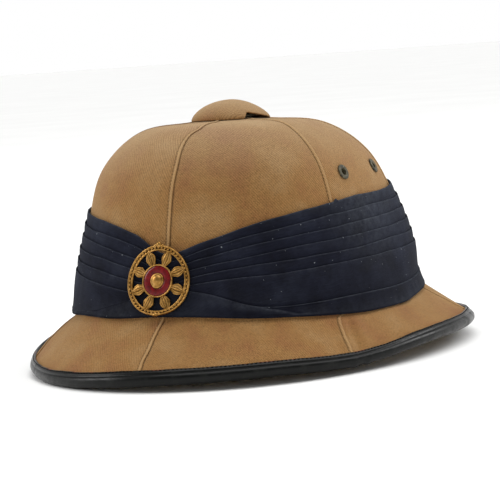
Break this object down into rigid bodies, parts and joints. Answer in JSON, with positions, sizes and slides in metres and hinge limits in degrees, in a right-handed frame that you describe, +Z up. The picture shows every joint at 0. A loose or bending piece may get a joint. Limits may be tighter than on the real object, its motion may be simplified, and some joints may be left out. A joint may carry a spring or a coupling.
{
  "type": "pith sun helmet",
  "caption": "Hollow tropical sun helmet with a domed crown, a sloping bound brim, a pleated cloth band, a front badge and a vented top cap.",
  "frame": {"origin": "centre of the helmet's bounding box, on the level surface that its binding stands on", "axes": "+Z up; the wearer faces -Y, with +X to the wearer's left"},
  "size_m": [0.2778, 0.3294, 0.1651],
  "materials": {
    "pith": "matte bare pith, moulded and pressed",
    "khaki_drill": "matte cotton twill, faded khaki tan",
    "black_leather": "worn semi-gloss leather over a rolled edge",
    "navy_cotton": "matte pleated cotton",
    "painted_brass": "dark green-grey paint, rubbed",
    "gilt_brass": "gilt, lightly tarnished",
    "red_enamel": "glossy dark red vitreous enamel"
  },
  "bodies": {
    "root": {"pith_crown": "pith", "pith_brim": "pith", "cloth_panel_left_front": "khaki_drill", "cloth_panel_left_side": "khaki_drill", "cloth_panel_left_back": "khaki_drill", "cloth_panel_right_back": "khaki_drill", "cloth_panel_right_side": "khaki_drill", "cloth_panel_right_front": "khaki_drill", "edge_binding": "black_leather", "pleated_band": "navy_cotton", "vent_collar": "painted_brass", "vent_cap": "khaki_drill", "eyelet_right_back": "painted_brass", "eyelet_right_front": "painted_brass", "eyelet_left_front": "painted_brass", "eyelet_left_back": "painted_brass", "badge_frame": "gilt_brass", "badge_enamel": "red_enamel"}
  },
  "joints": []
}
